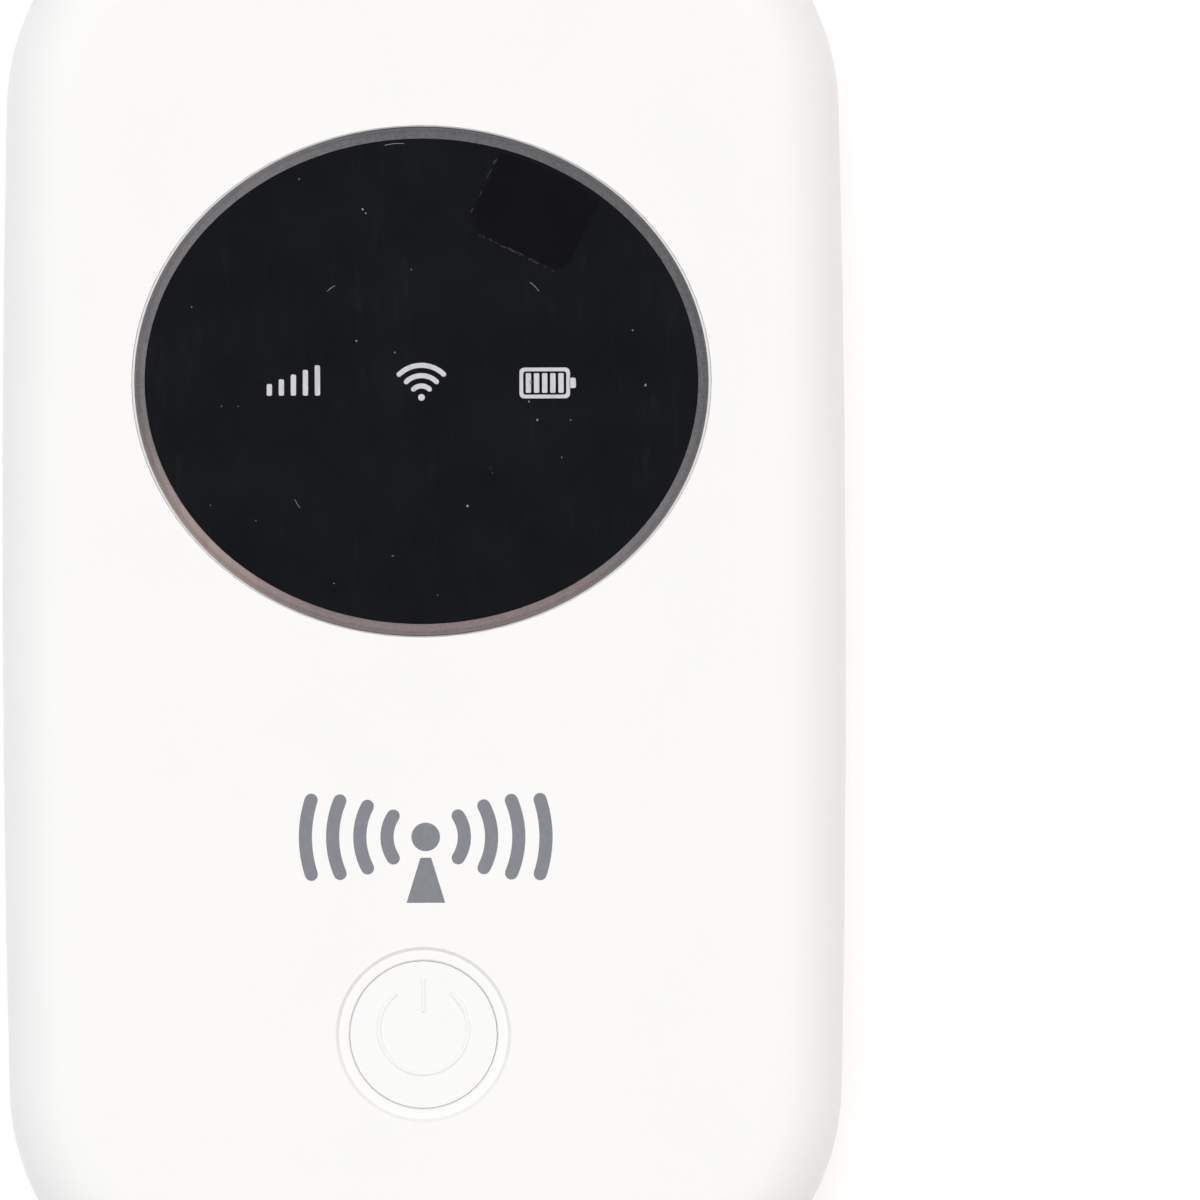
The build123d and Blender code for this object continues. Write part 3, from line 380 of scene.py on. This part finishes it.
shell_look = shell_plastic()
LOOKS = {
    shell_look: ["front_shell"],
    door_plastic(): ["rear_door"],
    button_plastic(): ["power_button"],
    moulded(
        "chassis plastic", (0.60, 0.61, 0.61), (0.64, 0.65, 0.65), (0.42, 0.55), texture=(0.3 * MM, 0.004 * MM)
    ): ["chassis"],
    lens_black(): ["display_lens"],
    band_metal(): ["lens_border"],
    film_clear(): ["screen_film"],
    film_tab(): ["film_pull_tab"],
    foam(): ["lens_adhesive"],
    moulded("baffle plastic", (0.020, 0.020, 0.021), (0.028, 0.028, 0.029), (0.5, 0.62)): ["icon_baffle"],
    rubber("guide resin", (0.70, 0.71, 0.70), (0.78, 0.78, 0.77)): ["icon_light_guides"],
    rubber("pad silicone", (0.50, 0.50, 0.49), (0.58, 0.58, 0.57)): ["button_pad"],
    moulded("contact block plastic", (0.016, 0.016, 0.017), (0.026, 0.026, 0.027), (0.36, 0.5)): [
        "battery_connector", "power_switch_base", "reset_switch_base", "sim_base", "usb_tongue",
    ],
    moulded("plunger plastic", (0.42, 0.42, 0.40), (0.50, 0.50, 0.48), (0.35, 0.5)): [
        "power_switch_plunger", "reset_plunger",
    ],
    sheet_metal("tinned steel", (0.66, 0.67, 0.68), (0.76, 0.76, 0.76)): [
        "usb_shell", "sim_cover", "baseband_shield", "radio_shield", "power_shield",
    ],
    sheet_metal("zinc steel", (0.56, 0.57, 0.58), (0.70, 0.70, 0.68), (0.26, 0.42), (1.0, 1.0, 1.0)): [
        "chassis_screws",
    ],
    sheet_metal("crystal can", (0.72, 0.72, 0.71), (0.80, 0.80, 0.79), (0.16, 0.28)): ["crystal"],
    sheet_metal("gold plate", (0.83, 0.60, 0.25), (0.93, 0.72, 0.36), (0.18, 0.32)): [
        "battery_pads", "battery_springs", "usb_contacts", "sim_contacts", "antenna_clips",
    ],
    board_mask(): ["main_board"],
    flex_film(): ["main_antenna", "second_antenna"],
    battery_sleeve(): ["battery_pack"],
    moulded("battery cap plastic", (0.016, 0.017, 0.019), (0.026, 0.027, 0.030), (0.4, 0.52)): [
        "battery_end_cap",
    ],
    label_paper("battery label paper", (0.62, 0.63, 0.65), (0.16, 0.22, 0.34)): ["battery_label"],
    label_paper("bay label paper", (0.70, 0.70, 0.69), (0.30, 0.31, 0.33)): ["rating_label"],
    chip_resin(): ["baseband_processor", "memory_chip", "radio_chips", "power_manager"],
    rubber("thermal pad", (0.24, 0.26, 0.29), (0.31, 0.33, 0.36)): ["thermal_pad"],
    ceramic(): ["passive_parts"],
    moulded("ferrite", (0.030, 0.030, 0.032), (0.055, 0.054, 0.053), (0.5, 0.7)): ["power_inductors"],
    moulded("LED resin", (0.72, 0.71, 0.62), (0.80, 0.79, 0.70), (0.2, 0.35)): ["status_leds"],
}
for look, names in LOOKS.items():
    for name in names:
        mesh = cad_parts[name].data
        mesh.materials.clear()
        mesh.materials.append(look.material)


# ---------------------------------------------------------------- flat printed pieces
def arc_points(centre, radius, start, end, count):
    """Points on an arc, from angle start to angle end in degrees."""
    angles = [math.radians(start + (end - start) * i / (count - 1)) for i in range(count)]
    return [(centre[0] + radius * math.cos(a), centre[1] + radius * math.sin(a)) for a in angles]


def polar(centre, radius, angle):
    """The point at a radius and an angle in degrees from centre."""
    return (centre[0] + radius * math.cos(math.radians(angle)), centre[1] + radius * math.sin(math.radians(angle)))


def rounded(centre, size, radius, steps=6):
    """Closed outline of a rectangle with rounded corners, anticlockwise."""
    half_x, half_y = size[0] / 2 - radius, size[1] / 2 - radius
    points = []
    for index, (x, y) in enumerate(((1, 1), (-1, 1), (-1, -1), (1, -1))):
        corner = (centre[0] + x * half_x, centre[1] + y * half_y)
        points += arc_points(corner, radius, 90 * index, 90 * index + 90, steps)
    return points


def wave(centre, radius, stroke, start, end, steps=28):
    """Closed outline of an arc-shaped stroke with round ends."""
    half = stroke / 2
    ends = []
    for angle, turn in ((end, 0), (start, 180)):
        ends.append(arc_points(polar(centre, radius, angle), half, angle + turn, angle + turn + 180, 8))
    outer = arc_points(centre, radius + half, start, end, steps)
    inner = arc_points(centre, radius - half, end, start, steps)
    return outer[:-1] + ends[0] + inner[1:-1] + ends[1][:-1]


def disc(centre, radius, steps=32):
    return arc_points(centre, radius, 0, 360 * (steps - 1) / steps, steps)


def plates(name, outlines, low, high, look, body, holes=()):
    """Thin closed plates between two heights. holes pairs outer and inner outlines of as many points."""
    shape = bmesh.new()
    for outline in outlines:
        bottom = [shape.verts.new((x, y, low)) for x, y in outline]
        top = [shape.verts.new((x, y, high)) for x, y in outline]
        shape.faces.new(top)
        shape.faces.new(bottom[::-1])
        for i in range(len(top)):
            j = (i + 1) % len(top)
            shape.faces.new((bottom[i], bottom[j], top[j], top[i]))
    for outer, inner in holes:
        rings = [[shape.verts.new((x, y, z)) for x, y in loop] for loop in (outer, inner) for z in (low, high)]
        outer_low, outer_high, inner_low, inner_high = rings
        for i in range(len(outer)):
            j = (i + 1) % len(outer)
            shape.faces.new((outer_low[i], outer_low[j], outer_high[j], outer_high[i]))
            shape.faces.new((inner_high[i], inner_high[j], inner_low[j], inner_low[i]))
            shape.faces.new((outer_high[i], outer_high[j], inner_high[j], inner_high[i]))
            shape.faces.new((outer_low[j], outer_low[i], inner_low[i], inner_low[j]))
    bmesh.ops.triangulate(shape, faces=[face for face in shape.faces if len(face.verts) > 4])
    bmesh.ops.recalc_face_normals(shape, faces=shape.faces)
    mesh = bpy.data.meshes.new(name)
    shape.to_mesh(mesh)
    shape.free()
    piece = bpy.data.objects.new(name, mesh)
    bpy.context.scene.collection.objects.link(piece)
    mesh.materials.append(look.material)
    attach(piece, body)
    return piece


# ---------------------------------------------------------------- indicators on the lens
ICON_PITCH = 8.92 * MM
SIGNAL_OUT, BATTERY_IN = 0.02 * MM, 0.31 * MM  # how far the outer two stand off the pitch
ICON_LOW, ICON_HIGH = lens_high.z - 0.006 * MM, lens_high.z + 0.02 * MM
icon_ink = print_ink("indicator ink", (0.625, 0.625, 0.645), (0.67, 0.67, 0.69))

BAR_WIDTH, BAR_STEP, BAR_ROUND = 0.37 * MM, 0.840 * MM, 0.1 * MM
BAR_SHORT, BAR_GROWTH, BAR_COUNT = 0.82 * MM, 0.325 * MM, 5
SIGNAL_BASE = WINDOW.y - 0.97 * MM
BAR_STEPS = 4
bars = []
for index in range(BAR_COUNT):
    tall = BAR_SHORT + BAR_GROWTH * index
    x = WINDOW.x - ICON_PITCH - SIGNAL_OUT + (index - BAR_COUNT // 2) * BAR_STEP
    bars.append(rounded((x, SIGNAL_BASE + tall / 2), (BAR_WIDTH, tall), BAR_ROUND, BAR_STEPS))
plates("signal_icon", bars, ICON_LOW, ICON_HIGH, icon_ink, "housing")

FAN_STROKE, FAN_DOT = 0.35 * MM, 0.235 * MM
FAN_RADII, FAN_SPREAD = (0.80 * MM, 1.52 * MM, 2.24 * MM), 44.0
FAN_DROP = 1.12 * MM
fan_centre = (WINDOW.x, WINDOW.y - FAN_DROP)
fan = [disc(fan_centre, FAN_DOT)]
for radius in FAN_RADII:
    fan.append(wave(fan_centre, radius, FAN_STROKE, 90 - FAN_SPREAD, 90 + FAN_SPREAD))
plates("wireless_icon", fan, ICON_LOW, ICON_HIGH, icon_ink, "housing")

CELL_SIZE, CELL_LINE, CELL_ROUND = (3.53 * MM, 2.15 * MM), 0.26 * MM, 0.33 * MM
CELL_INNER_ROUND = CELL_ROUND - CELL_LINE * 0.6
CELL_BAR, CELL_BAR_STEP, CELL_BAR_ROUND = (0.37 * MM, 1.37 * MM), 0.568 * MM, 0.06 * MM
NUB_SIZE, NUB_ROUND, NUB_OVERLAP = (0.45 * MM, 0.72 * MM), 0.12 * MM, 0.04 * MM
CELL_DROP = 0.14 * MM
cell_centre = (WINDOW.x + ICON_PITCH - BATTERY_IN, WINDOW.y - CELL_DROP)
inner_size = tuple(side - 2 * CELL_LINE for side in CELL_SIZE)
cell_ring = (rounded(cell_centre, CELL_SIZE, CELL_ROUND), rounded(cell_centre, inner_size, CELL_INNER_ROUND))
levels = []
for index in range(BAR_COUNT):
    level_x = cell_centre[0] + (index - BAR_COUNT // 2) * CELL_BAR_STEP
    levels.append(rounded((level_x, cell_centre[1]), CELL_BAR, CELL_BAR_ROUND, BAR_STEPS))
nub_x = cell_centre[0] + CELL_SIZE[0] / 2 + NUB_SIZE[0] / 2 - NUB_OVERLAP
levels.append(rounded((nub_x, cell_centre[1]), NUB_SIZE, NUB_ROUND, BAR_STEPS))
plates("battery_icon", levels, ICON_LOW, ICON_HIGH, icon_ink, "housing", [cell_ring])

# ---------------------------------------------------------------- printed mark: an antenna mast with waves
MARK_LOW, MARK_HIGH = FACE_Z - 0.004 * MM, FACE_Z + 0.008 * MM
MARK_X, MARK_Y = 0.2 * MM, -18.2 * MM
mark_ink = print_ink("mark ink", (0.172, 0.178, 0.202), (0.192, 0.198, 0.222))
MAST_TOP, MAST_FOOT, MAST_HEAD = 1.5 * MM, 2.7 * MM, 0.75 * MM
MAST_BASE, MAST_BALL, MAST_NECK = -3.1 * MM, 1.0 * MM, 1.45 * MM
mast_centre = (MARK_X, MARK_Y + MAST_TOP)
mark = [
    disc(mast_centre, MAST_BALL),
    [
        (MARK_X - MAST_FOOT / 2, MARK_Y + MAST_BASE),
        (MARK_X + MAST_FOOT / 2, MARK_Y + MAST_BASE),
        (MARK_X + MAST_HEAD / 2, MARK_Y + MAST_TOP - MAST_NECK),
        (MARK_X - MAST_HEAD / 2, MARK_Y + MAST_TOP - MAST_NECK),
    ],
]
WAVE_STROKE, WAVE_START, WAVE_STEP, WAVE_COUNT = 0.92 * MM, 0.8 * MM, 1.9 * MM, 4
WAVE_SPREAD, WAVE_NARROWING = 38.0, 5.0  # degrees each way, and how much less at each step out
for step in range(1, WAVE_COUNT + 1):
    radius, spread = WAVE_START + WAVE_STEP * step, WAVE_SPREAD - WAVE_NARROWING * step
    for side in (0.0, 180.0):
        mark.append(wave(mast_centre, radius, WAVE_STROKE, side - spread, side + spread))
plates("printed_mark", mark, MARK_LOW, MARK_HIGH, mark_ink, "housing")

# ---------------------------------------------------------------- pale rings that keep the gaps light
# White plastic lets light through to its gaps. The shell's material is opaque, so a ring stands in for that.
GAP, LIP_CLEAR, LIP_HEIGHT, LIP_STEPS = 0.05 * MM, 0.012 * MM, 0.25 * MM, 240
WINDOW_LIP_DROP, BUTTON_LIP_DROP = 0.16 * MM, 0.40 * MM


def oval(centre, radius_x, radius_y):
    """Closed outline of an ellipse, anticlockwise."""
    turns = [2 * math.pi * step / LIP_STEPS for step in range(LIP_STEPS)]
    return [(centre.x + radius_x * math.cos(turn), centre.y + radius_y * math.sin(turn)) for turn in turns]


def lip(name, centre, radius_x, radius_y, top):
    """A thin ring standing in the gap round a part with the given radii."""
    inner = oval(centre, radius_x + LIP_CLEAR, radius_y + LIP_CLEAR)
    outer = oval(centre, radius_x + GAP - LIP_CLEAR, radius_y + GAP - LIP_CLEAR)
    plates(name, [], top - LIP_HEIGHT, top, shell_look, "housing", [(outer, inner)])


lip("window_lip", WINDOW, BAND_X, BAND_Y, FACE_Z - WINDOW_LIP_DROP)
lip("button_lip", BUTTON, BUTTON_RADIUS, BUTTON_RADIUS, FACE_Z - BUTTON_LIP_DROP)

# ---------------------------------------------------------------- dust and hair scratches on the film
SEED = 11
DUST_COUNT, DUST_CORNERS = 24, 7
DUST_REACH = 0.92  # the square of the furthest speck's place, where the lens's edge is 1
DUST_RADII = (0.035, 0.045, 0.05, 0.06, 0.09)  # millimetres
HAIR_COUNT, HAIR_STROKE, HAIR_STEPS = 4, 0.035 * MM, 8
HAIR_REACH, HAIR_CURVE, HAIR_TURN = (0.35, 0.9), (1.5, 4.0), (8, 22)  # share of the lens, millimetres, degrees
DUST_LOW, DUST_HIGH = film_high.z - 0.004 * MM, film_high.z + 0.012 * MM
dust_look = print_ink("dust", (0.10, 0.105, 0.115), (0.32, 0.33, 0.35), (0.7, 0.9))
draw = random.Random(SEED)
flakes = []
while len(flakes) < DUST_COUNT:
    x, y = draw.uniform(-1, 1), draw.uniform(-1, 1)
    if x * x + y * y > DUST_REACH:
        continue
    centre = (WINDOW.x + x * LENS_X, WINDOW.y + y * LENS_Y)
    radius = draw.choice(DUST_RADII) * MM
    angles = sorted(draw.uniform(0, 2 * math.pi) for _ in range(DUST_CORNERS))
    flakes.append([(centre[0] + radius * math.cos(a), centre[1] + radius * math.sin(a)) for a in angles])
for _ in range(HAIR_COUNT):
    angle, reach = draw.uniform(0, 2 * math.pi), draw.uniform(*HAIR_REACH)
    centre = (WINDOW.x + reach * LENS_X * math.cos(angle), WINDOW.y + reach * LENS_Y * math.sin(angle))
    curve, start = draw.uniform(*HAIR_CURVE) * MM, angle * 50
    flakes.append(wave(centre, curve, HAIR_STROKE, start, start + draw.uniform(*HAIR_TURN), HAIR_STEPS))
plates("film_dust", flakes, DUST_LOW, DUST_HIGH, dust_look, "housing")

# ---------------------------------------------------------------- broken line of lifted glue by the tab
GLUE_WIDTH, GLUE_DASH, GLUE_COUNT = (0.04, 0.09), (0.10, 0.45), 40  # the first two in millimetres
TAB_TURN, TAB_HALF_X, TAB_HALF_Y = math.radians(-26.0), 3.8 * MM, 5.5 * MM
TAB_CENTRE = Vector((WINDOW.x + 9.0 * MM, WINDOW.y + 14.1 * MM))
GLUE_OUT, LENS_INSIDE = 0.14 * MM, 0.96
GLUE_ALONG_END, GLUE_SPOT, GLUE_DRIFT = 0.7, 0.8, 0.08  # chance, share of the edge, millimetres
SQUARE = ((-1, -1), (1, -1), (1, 1), (-1, 1))
glue_look = print_ink("lifted glue", (0.006, 0.007, 0.009), (0.016, 0.017, 0.020), (0.6, 0.8))


def on_tab(x, y):
    """A place given along the tab's own sides, in the frame."""
    cos, sin = math.cos(TAB_TURN), math.sin(TAB_TURN)
    return (TAB_CENTRE.x + x * cos - y * sin, TAB_CENTRE.y + x * sin + y * cos)


dashes = []
while len(dashes) < GLUE_COUNT:
    across, spot = draw.random() < GLUE_ALONG_END, draw.uniform(-GLUE_SPOT, GLUE_SPOT)
    drift = draw.uniform(-GLUE_DRIFT, GLUE_DRIFT) * MM
    long, thin = draw.uniform(*GLUE_DASH) * MM / 2, draw.uniform(*GLUE_WIDTH) * MM / 2
    if across:
        middle, half = (spot * TAB_HALF_X, -TAB_HALF_Y - GLUE_OUT + drift), (long, thin)
    else:
        middle, half = (-TAB_HALF_X - GLUE_OUT + drift, spot * TAB_HALF_Y), (thin, long)
    dash = [on_tab(middle[0] + x * half[0], middle[1] + y * half[1]) for x, y in SQUARE]
    if all(math.hypot((x - WINDOW.x) / LENS_X, (y - WINDOW.y) / LENS_Y) < LENS_INSIDE for x, y in dash):
        dashes.append(dash)
plates("tab_glue", dashes, DUST_LOW, DUST_HIGH, glue_look, "housing")

# ---------------------------------------------------------------- floor and light
FLOOR_REACH, FLOOR_DROP = 12.0, 0.02 * MM
floor_look = Look("floor", Emission_Strength=0.15, Roughness=0.9)
floor_look.shader.inputs["Emission Color"].default_value = (1.0, 1.0, 1.0, 1.0)
floor_look.shader.inputs["Specular IOR Level"].default_value = 0.0
floor_look.colour((0.90, 0.90, 0.90), (0.905, 0.905, 0.905), floor_look.grain(60 * MM))
floor_mesh = bpy.data.meshes.new("floor")
corners = [(x * FLOOR_REACH, y * FLOOR_REACH, cad_low.z - FLOOR_DROP) for x, y in SQUARE]
floor_mesh.from_pydata(corners, [], [(0, 1, 2, 3)])
floor = bpy.data.objects.new("floor", floor_mesh)
bpy.context.scene.collection.objects.link(floor)
floor_mesh.materials.append(floor_look.material)
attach(floor, "rear_door")

# A pale dome, brighter higher up and towards the window end, with a dark opening overhead and light from below.
LOW_LIGHT, RING_LIGHT, OPENING_LIGHT, BELOW_LIGHT = 0.32, 2.262, 0.035, 1.10
RING_OUTER, RING_INNER = math.cos(math.radians(54.0)), math.cos(math.radians(34.0))
OPENING_OUTER, OPENING_INNER = math.cos(math.radians(25.0)), math.cos(math.radians(9.0))
LEAN = Vector((-0.02, 0.42, 0.0))
HORIZON = -0.001
COOL, WARM, WARM_FULL = (0.988, 1.0, 1.012), (1.010, 0.930, 0.900), 0.8

world = bpy.data.worlds.new("studio")
bpy.context.scene.world = world
world.use_nodes = True
tree = world.node_tree
direction = add_node(tree, "TexCoord").outputs["Generated"]
height = add_node(tree, "SeparateXYZ", {0: direction}).outputs["Z"]


def smooth_step(start, end, low, high):
    """low below the height start, high above the height end, and a smooth change between them."""
    inputs = {"Value": height, "From Min": start, "From Max": end, "To Min": low, "To Max": high}
    return add_node(tree, "MapRange", inputs, interpolation_type="SMOOTHSTEP").outputs[0]


def combine(operation, first, second):
    """One arithmetic step on two values."""
    return add_node(tree, "Math", {0: first, 1: second}, operation=operation).outputs[0]


dome = smooth_step(RING_OUTER, RING_INNER, LOW_LIGHT, LOW_LIGHT + RING_LIGHT)
opening = smooth_step(OPENING_OUTER, OPENING_INNER, 1.0, OPENING_LIGHT)
lean = add_node(tree, "VectorMath", {0: direction, 1: tuple(LEAN)}, operation="DOT_PRODUCT").outputs["Value"]
tilt = combine("ADD", lean, 1.0)
level = combine("MULTIPLY", combine("MULTIPLY", dome, opening), tilt)
below = combine("LESS_THAN", height, HORIZON)
strength = add_node(tree, "Mix", {0: below, 2: level, 3: BELOW_LIGHT}, data_type="FLOAT").outputs[0]

across = add_node(tree, "SeparateXYZ", {0: direction}).outputs["X"]
warmth = {"Value": across, "From Min": 0.0, "From Max": WARM_FULL, "To Min": 0.0, "To Max": 1.0}
warm = add_node(tree, "MapRange", warmth).outputs[0]
tone = add_node(tree, "Mix", {0: warm, 6: (*COOL, 1.0), 7: (*WARM, 1.0)}, data_type="RGBA").outputs[2]

background = tree.nodes["Background"]
tree.links.new(tone, background.inputs["Color"])
tree.links.new(strength, background.inputs["Strength"])
